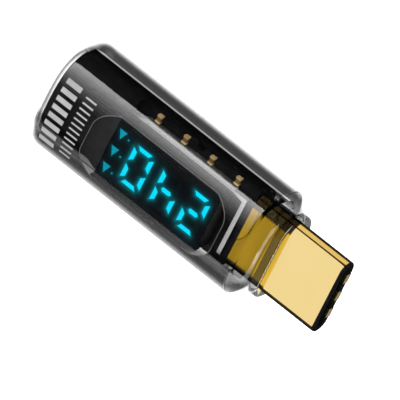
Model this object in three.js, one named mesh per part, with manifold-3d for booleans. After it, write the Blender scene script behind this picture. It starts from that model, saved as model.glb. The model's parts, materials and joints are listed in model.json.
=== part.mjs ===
// USB-C in-line power meter: a smoked clear body with a three-digit LED display, a USB-C
// receptacle at the rear end and a USB-C plug at the front end.
//
// Millimetres. +X runs along the body towards the plug tip, +Y is across the body and +Z is the
// side that the display faces. The origin is under the middle of the body, on its flat underside.
// Inside the group, x is the distance from the rear end, and y and z are measured from the
// centre line that the plug and the receptacle share.

import * as THREE from "three";
import { mergeVertices } from "three/addons/utils/BufferGeometryUtils.js";
import Module from "manifold-3d";

const wasm = await Module();
wasm.setup();

// Overall sizes
const length = 33.8;
const bodyWidth = 11.6;
const bodyHeight = 9.4;
const bodyLength = 26.6;
const sectionPower = 2.6; // exponent of the superellipse: 2 is an ellipse, larger is squarer
const sectionSteps = 56;
const wall = 1.1;
const restFlatDepth = 0.1; // how much the underside is flattened
const gap = 0.02; // clearance between neighbouring pieces

// Ends of the body
const rearWall = 0.5;
const rearRoundLength = 1.4;
const edgeInset = 1.2; // how far both end edges come in from the body's side
const chamferLength = 1.75;
const capSeamX = bodyLength - chamferLength;
const capWall = 1.0;
const spigotLength = 1.45;
const spigotWall = 0.42;

// Nose collar around the plug
const collarWidth = 9.1;
const collarHeight = 5.4;
const collarRadius = 2.1;
const collarFrontX = 27.5;
const collarNeckX = 25.2;
const collarStep = 0.2; // how much the neck is smaller than the flange, all round

// Display window
const windowRearX = 5.95;
const windowFrontX = 22.35;
const windowHalfWidth = 3.62;
const windowEndHalfWidth = 1.5; // straight part of each end
const windowCornerLength = 2.1;
const windowBottomZ = 3.62;

// Display stack, from the board up
const boardHalfThickness = 0.4;
const displayBoardTopZ = 1.03;
const displayFrameTopZ = 1.35;
const housingTopZ = 3.48;
const filmBottomZ = 3.5;
const filmTopZ = 3.6;
const housingRearX = 7.9;
const housingFrontX = 20.6;
const housingHalfWidth = 3.04;
const housingLipHalfWidth = 3.24; // the housing is a little wider under the film
const housingLipZ = 2.9;
const filmHalfWidth = 3.28;
const pocketTopZ = 2.32; // the light guides' plates lie in a pocket under the housing
const ledTopZ = 1.3;
const guideTopZ = 3.46;

// Digits: they read towards the rear end, with their tops towards -Y
const digitCentreX = { hundreds: 18.63, tens: 15.24, ones: 11.55 };
const digitCentreY = -0.2;
const digitHalfWidth = 1.225;
const digitHalfHeight = 2.15;
const segmentWidth = 0.47;
const unitCentreX = 8.65;
const unitCentreY = -0.3;
const unitPitch = 1.98;
const unitDotX = 9.51;
const unitLedX = 9.0;

// USB-C plug and receptacle, standard sizes
const plugWidth = 8.25;
const plugHeight = 2.4;
const plugRearX = 22.85;
const plugSheet = 0.25;
const mouthWidth = 6.8;
const mouthHeight = 1.0;
const mouthDepth = 5.7;
const receptacleWidth = 8.34;
const receptacleHeight = 2.54;
const receptacleSheet = 0.28;
const receptacleFrontX = 0.25;
const receptacleDepth = 6.2;
const tongueWidth = 6.69;
const tongueHeight = 0.7;
const contactCount = 12;
const contactPitch = 0.5;
const contactWidth = 0.24;
const contactSheet = 0.1;

// Main circuit board
const boardRearX = 7.9;
const boardFrontX = 22.5;
const boardHalfWidth = 4.45;
const trayFrontX = 22.6;
const trayFloorTopZ = -1.7;
const trayRailInnerY = 4.0;

const part = new THREE.Group();
part.position.set(-length / 2, 0, bodyHeight / 2 - restFlatDepth);

// ---------------------------------------------------------------- solids

function toSolid(geometry) {
  const bare = geometry.clone();
  bare.deleteAttribute("normal");
  bare.deleteAttribute("uv");
  const merged = mergeVertices(bare, 1e-4);
  return new wasm.Manifold(new wasm.Mesh({
    numProp: 3,
    vertProperties: Float32Array.from(merged.attributes.position.array),
    triVerts: Uint32Array.from(merged.index.array),
  }));
}

function toGeometry(solid) {
  const mesh = solid.getMesh();
  const geometry = new THREE.BufferGeometry();
  geometry.setAttribute("position", new THREE.BufferAttribute(mesh.vertProperties, 3));
  geometry.setIndex(new THREE.BufferAttribute(mesh.triVerts, 1));
  geometry.computeVertexNormals();
  return geometry;
}

function joined(solids) {
  return solids.reduce((sum, solid) => sum.add(solid));
}

function cut(solid, tools) {
  return tools.reduce((rest, tool) => rest.subtract(tool), solid);
}

// A box between two corners.
function block([x0, x1], [y0, y1], [z0, z1]) {
  const geometry = new THREE.BoxGeometry(x1 - x0, y1 - y0, z1 - z0);
  geometry.translate((x0 + x1) / 2, (y0 + y1) / 2, (z0 + z1) / 2);
  return toSolid(geometry);
}

// An outline drawn in Y and Z, run along X. The bevel narrows both ends without
// changing the length.
function alongX(outline, [x0, x1], bevel = { length: 0, inset: 0, steps: 0 }) {
  const geometry = new THREE.ExtrudeGeometry(outline, {
    depth: x1 - x0 - 2 * bevel.length,
    steps: 1,
    curveSegments: 12,
    bevelEnabled: bevel.steps > 0,
    bevelThickness: bevel.length,
    bevelSize: bevel.inset,
    bevelOffset: -bevel.inset,
    bevelSegments: bevel.steps,
  });
  geometry.translate(0, 0, x0 + bevel.length);
  const turn = new THREE.Matrix4().makeBasis(
    new THREE.Vector3(0, 1, 0),
    new THREE.Vector3(0, 0, 1),
    new THREE.Vector3(1, 0, 0),
  );
  geometry.applyMatrix4(turn);
  return toSolid(geometry);
}

// An outline drawn in X and Y, run up along Z.
function alongZ(outline, [z0, z1]) {
  const geometry = new THREE.ExtrudeGeometry(outline, {
    depth: z1 - z0,
    steps: 1,
    curveSegments: 6,
    bevelEnabled: false,
  });
  geometry.translate(0, 0, z0);
  return toSolid(geometry);
}

// ---------------------------------------------------------------- outlines

// The body's cross-section, brought in from the side by inset.
function bodySection(inset) {
  const outline = new THREE.Shape();
  for (let i = 0; i < sectionSteps; i += 1) {
    const turn = (2 * Math.PI * i) / sectionSteps;
    const c = Math.cos(turn);
    const s = Math.sin(turn);
    const y = (bodyWidth / 2 - inset) * Math.sign(c) * Math.abs(c) ** (2 / sectionPower);
    const z = (bodyHeight / 2 - inset) * Math.sign(s) * Math.abs(s) ** (2 / sectionPower);
    if (i === 0) outline.moveTo(y, z);
    else outline.lineTo(y, z);
  }
  outline.closePath();
  return outline;
}

function roundedRectangle(width, height, radius) {
  const w = width / 2 - radius;
  const h = height / 2 - radius;
  const outline = new THREE.Shape();
  outline.absarc(w, h, radius, 0, Math.PI / 2);
  outline.absarc(-w, h, radius, Math.PI / 2, Math.PI);
  outline.absarc(-w, -h, radius, Math.PI, 1.5 * Math.PI);
  outline.absarc(w, -h, radius, 1.5 * Math.PI, 2 * Math.PI);
  outline.closePath();
  return outline;
}

// A rectangle with fully round sides, as both USB-C shells have.
function stadium(width, height) {
  const radius = height / 2;
  const w = width / 2 - radius;
  const outline = new THREE.Shape();
  outline.absarc(w, 0, radius, -Math.PI / 2, Math.PI / 2);
  outline.absarc(-w, 0, radius, Math.PI / 2, 1.5 * Math.PI);
  outline.closePath();
  return outline;
}

function polygon(points) {
  return new THREE.Shape(points.map(([x, y]) => new THREE.Vector2(x, y)));
}

// The window: long straight sides and short straight ends, joined by flowing corners.
function windowOutline(inset) {
  const rear = windowRearX + inset;
  const front = windowFrontX - inset;
  const side = windowHalfWidth - inset;
  const end = windowEndHalfWidth;
  const corner = windowCornerLength;
  const bendX = 0.2; // how far each corner's control point is from the square corner
  const bendY = 0.75;
  const outline = new THREE.Shape();
  outline.moveTo(front, -end);
  outline.lineTo(front, end);
  outline.quadraticCurveTo(front - bendX, side - bendY, front - corner, side);
  outline.lineTo(rear + corner, side);
  outline.quadraticCurveTo(rear + bendX, side - bendY, rear, end);
  outline.lineTo(rear, -end);
  outline.quadraticCurveTo(rear + bendX, bendY - side, rear + corner, -side);
  outline.lineTo(front - corner, -side);
  outline.quadraticCurveTo(front - bendX, bendY - side, front, -end);
  return outline;
}

// ---------------------------------------------------------------- body

const acrossAll = [-bodyWidth, bodyWidth];
const throughAll = [-bodyHeight, bodyHeight];
const restCut = block([-1, length], acrossAll, [-bodyHeight, restFlatDepth - bodyHeight / 2]);
const plugPassage = alongX(stadium(plugWidth + 2 * gap, plugHeight + 2 * gap), [plugRearX, length + 1]);

// The full body between its rounded rear edge and the seam with the front cap.
function sleeveBlank() {
  const rounded = alongX(bodySection(0), [0, capSeamX + rearRoundLength], {
    length: rearRoundLength,
    inset: edgeInset,
    steps: 5,
  });
  const beyond = block([capSeamX, length], acrossAll, throughAll);
  return cut(rounded, [beyond]);
}

function receptacleOpening(x0, x1) {
  const clear = 2 * (receptacleSheet + gap);
  return alongX(stadium(receptacleWidth + clear, receptacleHeight + clear), [x0, x1]);
}

function shell() {
  const cavity = alongX(bodySection(wall), [rearWall, capSeamX + 1]);
  const aperture = alongZ(windowOutline(0), [2, bodyHeight]);
  return cut(sleeveBlank(), [cavity, aperture, receptacleOpening(-1, rearWall + 1), restCut]);
}

function displayWindow() {
  const lens = alongZ(windowOutline(gap), [windowBottomZ, bodyHeight]);
  return lens.intersect(sleeveBlank());
}

function frontCap() {
  const chamfered = alongX(bodySection(0), [capSeamX - 2 * chamferLength, bodyLength], {
    length: chamferLength,
    inset: edgeInset,
    steps: 1,
  });
  const behind = block([0, capSeamX + gap], acrossAll, throughAll);
  const spigot = alongX(bodySection(wall + gap), [capSeamX - spigotLength, capSeamX + 0.1]);
  const hollow = alongX(bodySection(wall + spigotWall), [capSeamX - 5, bodyLength - capWall]);
  const neckHole = alongX(collarOutline(-collarStep + gap), [capSeamX, length]);
  return cut(joined([cut(chamfered, [behind]), spigot]), [hollow, neckHole, restCut]);
}

function collarOutline(grow) {
  return roundedRectangle(collarWidth + 2 * grow, collarHeight + 2 * grow, collarRadius + grow);
}

function noseCollar() {
  const flange = alongX(collarOutline(0), [bodyLength + gap, collarFrontX], {
    length: 0.15,
    inset: 0.15,
    steps: 2,
  });
  const neck = alongX(collarOutline(-collarStep), [collarNeckX, bodyLength + 0.3]);
  return cut(joined([flange, neck]), [plugPassage]);
}

// Black block that holds the receptacle in the rear of the body.
function receptacleHolder() {
  const rear = rearWall + gap;
  const front = boardRearX - 0.05;
  const plug = alongX(bodySection(wall + 2 * gap), [rear, front]);
  return cut(plug, [receptacleOpening(0, front + 1)]);
}

// Black cradle under the circuit board, with a rail along each side that the board lies on.
function boardTray() {
  const whole = alongX(bodySection(wall + 2 * gap), [boardRearX, trayFrontX]);
  const above = block([0, length], acrossAll, [-boardHalfThickness - gap, bodyHeight]);
  const trough = block([0, length], [-trayRailInnerY, trayRailInnerY], [trayFloorTopZ, bodyHeight]);
  return cut(whole, [above, trough]);
}

// ---------------------------------------------------------------- display

// The seven segments of one digit about its own centre, u to its right and v to its top:
// a, b, c, d, e, f and g, clockwise from the top, with g in the middle.
function segmentOutlines() {
  const side = digitHalfWidth;
  const inner = side - segmentWidth;
  const top = digitHalfHeight;
  const upper = [
    [side, 0.2],
    [side, 1.75],
    [inner, 1.4],
    [inner, 0.58],
  ];
  const a = [[-0.85, top], [0.85, top], [0.55, top - 0.43], [-0.55, top - 0.43]];
  const g = [[-0.6, 0], [-0.4, 0.24], [0.4, 0.24], [0.6, 0], [0.4, -0.24], [-0.4, -0.24]];
  const mirror = (points, u, v) => points.map(([x, y]) => [x * u, y * v]);
  return [
    a,
    upper,
    mirror(upper, 1, -1),
    mirror(a, 1, -1),
    mirror(upper, -1, -1),
    mirror(upper, -1, 1),
    g,
  ];
}

// An outline about a digit's centre, turned to read towards the rear end and made larger
// all round by grow.
function placedOutline(points, centreX, centreY, grow) {
  const count = points.length;
  const middle = points.reduce(([x, y], p) => [x + p[0] / count, y + p[1] / count], [0, 0]);
  const outward = (value, centre) => value + Math.sign(value - centre) * grow;
  const placed = points.map(([u, v]) => [
    centreX - outward(u, middle[0]),
    centreY - outward(v, middle[1]),
  ]);
  if (THREE.ShapeUtils.area(placed.map(([x, y]) => new THREE.Vector2(x, y))) < 0) placed.reverse();
  return polygon(placed);
}

function digitBars(centreX, grow, zRange) {
  return segmentOutlines().map((points) => {
    return alongZ(placedOutline(points, centreX, digitCentreY, grow), zRange);
  });
}

// Three small unit pointers and the lamp dot beside each: generic triangles.
function unitBars(grow, zRange) {
  const pointer = [[-0.45, -0.5], [0.45, -0.5], [0, 0.5]];
  const dot = [[-0.09, -0.09], [0.09, -0.09], [0.09, 0.09], [-0.09, 0.09]];
  return [-1, 0, 1].flatMap((row) => {
    const y = row * unitPitch + unitCentreY;
    return [
      alongZ(placedOutline(pointer, unitCentreX, y, grow), zRange),
      alongZ(placedOutline(dot, unitDotX, y, grow), zRange),
    ];
  });
}

const guidePlateHalfWidth = 2.6;
const guidePlateY = [-guidePlateHalfWidth, guidePlateHalfWidth];
const guidePlateZ = [displayFrameTopZ + 2 * gap, pocketTopZ - gap];
const guideBarZ = [guidePlateZ[1] - 0.05, guideTopZ];

function digitGuide(centreX) {
  const half = 1.68;
  const plate = block([centreX - half, centreX + half], guidePlateY, guidePlateZ);
  return joined([plate, ...digitBars(centreX, 0, guideBarZ)]);
}

function unitGuide() {
  const plate = block([8.12, 9.74], guidePlateY, guidePlateZ);
  return joined([plate, ...unitBars(0, guideBarZ)]);
}

function displayHousing() {
  const through = [displayFrameTopZ, bodyHeight];
  const x = [housingRearX, housingFrontX];
  const body = block(x, [-housingHalfWidth, housingHalfWidth], [displayFrameTopZ + gap, housingTopZ]);
  const lip = block(x, [-housingLipHalfWidth, housingLipHalfWidth], [housingLipZ, housingTopZ]);
  const pocketEnd = 0.2;
  const pocketHalfWidth = guidePlateHalfWidth + 0.05;
  const pocket = block(
    [housingRearX + pocketEnd, housingFrontX - pocketEnd],
    [-pocketHalfWidth, pocketHalfWidth],
    [0, pocketTopZ],
  );
  const slots = Object.values(digitCentreX).flatMap((x) => digitBars(x, gap, through));
  return cut(joined([body, lip]), [pocket, ...slots, ...unitBars(gap, through)]);
}

function displayFilm() {
  return block([housingRearX, housingFrontX], [-filmHalfWidth, filmHalfWidth], [filmBottomZ, filmTopZ]);
}

// Pale frame over the display's board and down both its sides, narrower towards the plug.
function displayFrame() {
  const rear = 8.0;
  const front = 22.1;
  const side = 3.5;
  const step = 0.25;
  const stepX = 20.3;
  const cornerLength = 1.4;
  const cornerWidth = 0.6;
  const skirtInnerY = 3.14;
  const outline = polygon([
    [rear + cornerLength, -side],
    [stepX, -side],
    [stepX, step - side],
    [front, step - side],
    [front, side - step],
    [stepX, side - step],
    [stepX, side],
    [rear + cornerLength, side],
    [rear, side - cornerWidth],
    [rear, cornerWidth - side],
  ]);
  const whole = alongZ(outline, [boardHalfThickness + gap, displayFrameTopZ]);
  const below = block([0, length], [-skirtInnerY, skirtInnerY], [0, displayBoardTopZ + gap]);
  const wells = [unitLedX, ...Object.values(digitCentreX)].map((x, i) => {
    const half = i === 0 ? 0.7 : 1.5;
    return block([x - half, x + half], [-2.4, 2.4], [0, bodyHeight]);
  });
  return cut(whole, [below, ...wells]);
}

function displayBoard() {
  return block([8.55, 21.4], [-3.05, 3.05], [boardHalfThickness + gap, displayBoardTopZ]);
}

// The emitters of one digit, on the display's board inside a well of the frame.
function ledArray(centreX, halfLength) {
  const x = [centreX - halfLength, centreX + halfLength];
  return block(x, [-2.0, 2.0], [displayBoardTopZ + gap, ledTopZ]);
}

// ---------------------------------------------------------------- circuit board

function mainBoard() {
  const notchRadius = 0.6;
  const notchX = 15.1;
  const whole = block(
    [boardRearX, boardFrontX],
    [-boardHalfWidth, boardHalfWidth],
    [-boardHalfThickness, boardHalfThickness],
  );
  const notches = [-1, 1].map((side) => {
    const geometry = new THREE.CylinderGeometry(notchRadius, notchRadius, 4, 20);
    geometry.rotateX(Math.PI / 2);
    geometry.translate(notchX, side * boardHalfWidth, 0);
    return toSolid(geometry);
  });
  return cut(whole, notches);
}

// A chip on top of the board when up is true, or on its underside.
function chip([x, y], [sizeX, sizeY, height], up) {
  const near = boardHalfThickness + gap;
  const z = up ? [near, near + height] : [-near - height, -near];
  return block([x - sizeX / 2, x + sizeX / 2], [y - sizeY / 2, y + sizeY / 2], z);
}

// ---------------------------------------------------------------- receptacle

const receptacleBaseX = receptacleFrontX + receptacleDepth;
const receptacleShellBackX = 7.3;
const receptacleBackX = 7.78;
const tongueTipX = 1.0;

function contactPositions() {
  return Array.from({ length: contactCount }, (_, i) => (i - (contactCount - 1) / 2) * contactPitch);
}

function receptacleShell() {
  const outer = alongX(
    stadium(receptacleWidth + 2 * receptacleSheet, receptacleHeight + 2 * receptacleSheet),
    [receptacleFrontX, receptacleShellBackX],
  );
  const inner = alongX(
    stadium(receptacleWidth, receptacleHeight),
    [receptacleFrontX - 1, receptacleShellBackX + 1],
  );
  return cut(outer, [inner]);
}

function receptacleInsulator() {
  const base = alongX(
    stadium(receptacleWidth - 2 * gap, receptacleHeight - 2 * gap),
    [receptacleBaseX, receptacleBackX],
  );
  const tongue = block(
    [tongueTipX, receptacleBaseX + 0.1],
    [-tongueWidth / 2, tongueWidth / 2],
    [-tongueHeight / 2, tongueHeight / 2],
  );
  const half = contactWidth / 2 + gap;
  const slots = contactPositions().flatMap((y) => [
    block([1.25, receptacleBackX + 1], [y - half, y + half], [0.24, 0.39]),
    block([1.25, receptacleBackX + 1], [y - half, y + half], [-0.39, -0.24]),
  ]);
  const platePocket = block([1.6, receptacleBackX + 1], [-2.9, 2.9], [-0.09, 0.09]);
  return cut(joined([base, tongue]), [...slots, platePocket]);
}

function receptacleMidPlate() {
  return block([1.65, receptacleBackX], [-2.85, 2.85], [-0.07, 0.07]);
}

// Twelve contacts held in one moulded bar: they run along the tongue, and their tails lie on
// the circuit board behind the bar. side is 1 for the upper row and -1 for the lower row.
function receptacleContacts(side) {
  const half = contactWidth / 2;
  const tongueZ = 0.26;
  const tailZ = boardHalfThickness + gap;
  const barRearX = receptacleBackX + gap;
  const pieces = [
    block([barRearX, boardRearX - gap], [-3.1, 3.1], [tongueZ, 0.75]),
    block([barRearX, 8.15], [-3.1, 3.1], [tailZ, 0.75]),
    ...contactPositions().flatMap((y) => [
      block([1.3, barRearX + 0.01], [y - half, y + half], [tongueZ, tongueZ + contactSheet]),
      block([8.1, 8.5], [y - half, y + half], [tailZ, tailZ + contactSheet]),
    ]),
  ];
  return mirrored(joined(pieces), side);
}

function mirrored(solid, side) {
  return side > 0 ? solid : solid.mirror([0, 0, 1]);
}

// ---------------------------------------------------------------- plug

const plugTipX = length;
const noseLength = 0.15; // black nose of the insulator, in front of the shell
const shellTipX = plugTipX - noseLength - gap;
const insulatorRearX = 23.2;
const mouthBackX = plugTipX - mouthDepth;
const insulatorWidth = plugWidth - 2 * (plugSheet + gap);
const insulatorHeight = plugHeight - 2 * (plugSheet + gap);
const groundTabPitch = 2.05;
const groundTabWidth = 1.05;
const groundSheet = 0.08;

function plugShell() {
  const outer = alongX(stadium(plugWidth, plugHeight), [plugRearX, shellTipX]);
  const inner = alongX(
    stadium(plugWidth - 2 * plugSheet, plugHeight - 2 * plugSheet),
    [plugRearX - 1, plugTipX + 1],
  );
  return cut(outer, [inner]);
}

function plugInsulator() {
  const core = alongX(stadium(insulatorWidth, insulatorHeight), [insulatorRearX, plugTipX - noseLength / 2]);
  const nose = alongX(stadium(plugWidth - 2 * gap, plugHeight - 2 * gap), [plugTipX - noseLength, plugTipX], {
    length: 0.05,
    inset: 0.06,
    steps: 2,
  });
  const mouth = alongX(roundedRectangle(mouthWidth, mouthHeight, 0.3), [mouthBackX, plugTipX + 1]);
  const half = contactWidth / 2 + gap;
  const slots = contactPositions().flatMap((y) => [
    block([0, plugTipX - 0.6], [y - half, y + half], [0.4, 0.54]),
    block([0, plugTipX - 0.6], [y - half, y + half], [-0.54, -0.4]),
  ]);
  const latchPocket = block([0, plugTipX - 1.1], [-3.68, 3.68], [-0.18, 0.18]);
  const upperPocket = joined(groundSpringBlocks(gap));
  const lowerPocket = mirrored(joined([...groundSpringBlocks(gap), ...groundTabBlocks(gap)]), -1);
  return cut(joined([core, nose]), [mouth, ...slots, latchPocket, upperPocket, lowerPocket]);
}

// Sprung side catches: one flat U of sheet steel on the plug's middle plane.
function plugLatch() {
  const z = [-0.16, 0.16];
  const armOuter = 3.65;
  const armInner = 3.42;
  const hookInner = 3.15;
  const tipX = plugTipX - 1.15;
  const arms = [-1, 1].flatMap((side) => {
    const across = (y0, y1) => (side > 0 ? [y0, y1] : [-y1, -y0]);
    return [
      block([insulatorRearX + 0.2, tipX], across(armInner, armOuter), z),
      block([tipX - 0.5, tipX], across(hookInner, armOuter), z),
    ];
  });
  const back = block([insulatorRearX + 0.2, insulatorRearX + 1.6], [-armOuter, armOuter], z);
  return joined([back, ...arms]);
}

// Contact row of the plug: twelve contacts in one moulded bar, with tails on the circuit board.
function plugContacts(side) {
  const half = contactWidth / 2;
  const z = [boardHalfThickness + gap, boardHalfThickness + gap + contactSheet];
  const bar = block([plugRearX + gap, insulatorRearX - gap], [-3.1, 3.1], [z[0], 0.85]);
  const strips = contactPositions().map((y) => block([21.6, plugTipX - 0.7], [y - half, y + half], z));
  return mirrored(joined([bar, ...strips]), side);
}

// Ground spring between the insulator and the shell near the mouth: a plate with three fingers.
function groundSpringBlocks(grow) {
  const top = insulatorHeight / 2;
  const z = [top - groundSheet - gap - grow, top - gap + 2 * grow];
  const plateX = [plugTipX - 2.6 - grow, plugTipX - 1.3 + grow];
  return [
    block(plateX, [-3.1 - grow, 3.1 + grow], z),
    ...groundTabSpans(grow).map((y) => block([plateX[1] - 0.1, plugTipX - 0.5], y, z)),
  ];
}

function groundTabSpans(grow) {
  const half = groundTabWidth / 2 + grow;
  return [-1, 0, 1].map((row) => [row * groundTabPitch - half, row * groundTabPitch + half]);
}

// The fingers' tips: forward through the nose, down over its face and back into the mouth.
function groundTabBlocks(grow) {
  const top = insulatorHeight / 2;
  const faceX = [plugTipX - groundSheet - grow, plugTipX + 2 * grow];
  const mouthZ = [mouthHeight / 2 - groundSheet - grow, mouthHeight / 2 + grow];
  const topZ = [top - groundSheet - gap - grow, top - gap + 2 * grow];
  return groundTabSpans(grow).flatMap((y) => [
    block([plugTipX - 0.55, faceX[0] + 0.02], y, topZ),
    block(faceX, y, [mouthZ[0], plugHeight / 2 - 0.05 + grow]),
    block([plugTipX - 0.4, faceX[0] + 0.02], y, mouthZ),
  ]);
}

// ---------------------------------------------------------------- assembly

function add(name, solid, colour, roughness, metalness) {
  const material = new THREE.MeshStandardMaterial({ color: colour, roughness, metalness });
  const mesh = new THREE.Mesh(toGeometry(solid), material);
  mesh.name = name;
  part.add(mesh);
}

const smoked = [0x2b2b2d, 0.08, 0];
const blackPlastic = [0x121214, 0.5, 0];
const boardBlack = [0x17181a, 0.55, 0];
const palePlastic = [0xa8a8ac, 0.4, 0];
const litBlue = [0x18cdf2, 0.35, 0];
const gold = [0xe2c268, 0.2, 1];
const steel = [0xb9bbc0, 0.3, 1];
const chipBlack = [0x1c1c1e, 0.6, 0];
const ceramic = [0x7a5328, 0.5, 0];

add("shell", shell(), ...smoked);
add("front_cap", frontCap(), ...smoked);
add("nose_collar", noseCollar(), ...smoked);
add("display_window", displayWindow(), ...smoked);
add("receptacle_holder", receptacleHolder(), ...blackPlastic);
add("board_tray", boardTray(), ...blackPlastic);

add("display_film", displayFilm(), ...blackPlastic);
add("display_housing", displayHousing(), ...blackPlastic);
add("display_frame", displayFrame(), ...palePlastic);
add("display_board", displayBoard(), ...boardBlack);
for (const [place, x] of Object.entries(digitCentreX)) {
  add(`digit_${place}`, digitGuide(x), ...litBlue);
  add(`led_array_${place}`, ledArray(x, 1.1), ...palePlastic);
}
add("unit_marks", unitGuide(), ...litBlue);
add("led_array_units", ledArray(unitLedX, 0.4), ...palePlastic);

add("main_board", mainBoard(), ...boardBlack);
for (let i = 0; i < 4; i += 1) {
  add(`capacitor_${i + 1}`, chip([10.2 + 3.3 * i, 3.98], [0.6, 0.9, 0.5], true), ...ceramic);
}
add("meter_controller", chip([12.6, 0.4], [4.0, 4.0, 0.8], false), ...chipBlack);
add("cable_marker_chip", chip([19.6, -1.6], [2.0, 2.0, 0.6], false), ...chipBlack);
add("voltage_regulator", chip([17.0, 2.2], [2.9, 1.6, 1.0], false), ...chipBlack);
add("current_shunt", chip([9.4, -2.4], [1.6, 3.2, 0.6], false), ...steel);
add("inductor", chip([16.3, -2.2], [2.5, 2.0, 1.0], false), ...chipBlack);
add("surge_diode", chip([20.3, 1.9], [1.6, 1.0, 0.6], false), ...chipBlack);

add("receptacle_shell", receptacleShell(), ...steel);
add("receptacle_insulator", receptacleInsulator(), ...blackPlastic);
add("receptacle_mid_plate", receptacleMidPlate(), ...steel);
add("receptacle_contacts_upper", receptacleContacts(1), ...gold);
add("receptacle_contacts_lower", receptacleContacts(-1), ...gold);

add("plug_shell", plugShell(), ...gold);
add("plug_insulator", plugInsulator(), ...blackPlastic);
add("plug_latch", plugLatch(), ...steel);
add("plug_contacts_upper", plugContacts(1), ...gold);
add("plug_contacts_lower", plugContacts(-1), ...gold);
add("plug_ground_spring_upper", joined(groundSpringBlocks(0)), ...gold);
add(
  "plug_ground_spring_lower",
  mirrored(joined([...groundSpringBlocks(0), ...groundTabBlocks(0)]), -1),
  ...gold,
);

export default part;
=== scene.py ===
import json
import math

import bmesh
import bpy
import numpy as np
from mathutils import Matrix, Vector


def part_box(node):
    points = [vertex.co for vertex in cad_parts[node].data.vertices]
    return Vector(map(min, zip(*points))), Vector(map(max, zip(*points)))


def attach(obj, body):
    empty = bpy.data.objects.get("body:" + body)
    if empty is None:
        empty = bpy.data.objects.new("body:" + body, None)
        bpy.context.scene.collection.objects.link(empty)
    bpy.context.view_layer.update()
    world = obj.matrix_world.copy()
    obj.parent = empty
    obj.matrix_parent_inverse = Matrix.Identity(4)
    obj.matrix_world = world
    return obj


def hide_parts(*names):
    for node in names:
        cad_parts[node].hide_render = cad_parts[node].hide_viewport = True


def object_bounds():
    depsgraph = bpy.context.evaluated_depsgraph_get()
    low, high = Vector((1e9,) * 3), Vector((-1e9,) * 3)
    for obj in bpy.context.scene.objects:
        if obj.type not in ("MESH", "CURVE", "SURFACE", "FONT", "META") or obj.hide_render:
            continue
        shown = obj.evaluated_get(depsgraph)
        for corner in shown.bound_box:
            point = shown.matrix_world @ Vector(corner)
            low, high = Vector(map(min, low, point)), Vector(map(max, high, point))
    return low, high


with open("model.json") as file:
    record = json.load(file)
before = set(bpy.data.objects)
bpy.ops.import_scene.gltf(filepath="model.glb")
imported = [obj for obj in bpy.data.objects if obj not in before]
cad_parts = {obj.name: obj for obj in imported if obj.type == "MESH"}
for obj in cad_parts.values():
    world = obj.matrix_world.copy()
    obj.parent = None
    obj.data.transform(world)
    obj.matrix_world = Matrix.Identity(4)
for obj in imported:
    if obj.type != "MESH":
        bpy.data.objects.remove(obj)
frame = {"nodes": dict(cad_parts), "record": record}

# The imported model's box, before any piece is added.
cad_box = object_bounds()

# ------------------------------------------------------------------ frame
# Lengths below are millimetres: x from the rear end, y and z from the centre line that the
# plug and the receptacle share.
MM = 0.001


def node_box(name):
    low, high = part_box(name)
    return Vector(low), Vector(high)


shell_low, shell_high = node_box("shell")
plug_low, plug_high = node_box("plug_shell")
cap_low, cap_high = node_box("front_cap")
collar_low, collar_high = node_box("nose_collar")
window_low, window_high = node_box("display_window")
REAR = Vector((shell_low.x, 0.0, (plug_low.z + plug_high.z) / 2))


def local_x(x):
    return (x - REAR.x) / MM


def local_z(z):
    return (z - REAR.z) / MM


def at(x, y, z):
    return REAR + Vector((x, y, z)) * MM


HALF_WIDTH = (shell_high.y - shell_low.y) / 2 / MM
HALF_HEIGHT = local_z(shell_high.z)
REST_Z = local_z(shell_low.z)
SEAM_X = local_x(shell_high.x)
BODY_END_X = local_x(min(cap_high.x, collar_high.x))
COLLAR_END_X = local_x(collar_high.x)
TIP_X = local_x(node_box("plug_insulator")[1].x)
PLUG_SHELL_END_X = local_x(plug_high.x)
PLUG_REAR_X = local_x(plug_low.x)
PLUG_WIDTH = (plug_high.y - plug_low.y) / MM
PLUG_HEIGHT = (plug_high.z - plug_low.z) / MM
PLUG_FLAT_HALF = (PLUG_WIDTH - PLUG_HEIGHT) / 2  # half the flat between its round sides
SECTION_POWER = 2.6  # of the superellipse that the body's section follows
WALL = 1.1
REAR_ROUND = 1.4  # length of the rounding at the rear edge
EDGE_INSET = 1.2  # how far the body narrows at its two ends
CAP_WALL = 1.0
GAP = 0.02  # between pieces that touch
REAR_WALL = local_x(node_box("receptacle_holder")[0].x) - GAP

# ------------------------------------------------------------------ mesh tools


def mesh_piece(name, points, faces, smooth_angle=35.0):
    mesh = bpy.data.meshes.new(name)
    mesh.from_pydata([at(*p) for p in points], [], faces)
    mesh.update()
    piece = bpy.data.objects.new(name, mesh)
    bpy.context.collection.objects.link(piece)
    shade(piece, smooth_angle)
    return piece


def shade(piece, smooth_angle=35.0):
    piece.data.shade_smooth()
    piece.data.set_sharp_from_angle(angle=math.radians(smooth_angle))


def loft(name, rings, closed=False, smooth_angle=35.0):
    """Skins rings of equal length. closed joins the last ring to the first; otherwise both
    ends are capped."""
    count = len(rings[0])
    points = [p for ring in rings for p in ring]
    faces = []
    spans = len(rings) if closed else len(rings) - 1
    for r in range(spans):
        near = r * count
        far = ((r + 1) % len(rings)) * count
        for i in range(count):
            j = (i + 1) % count
            faces.append((near + i, near + j, far + j, far + i))
    if not closed:
        faces.append(tuple(reversed(range(count))))
        faces.append(tuple(range((len(rings) - 1) * count, len(rings) * count)))
    return mesh_piece(name, points, faces, smooth_angle)


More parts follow.
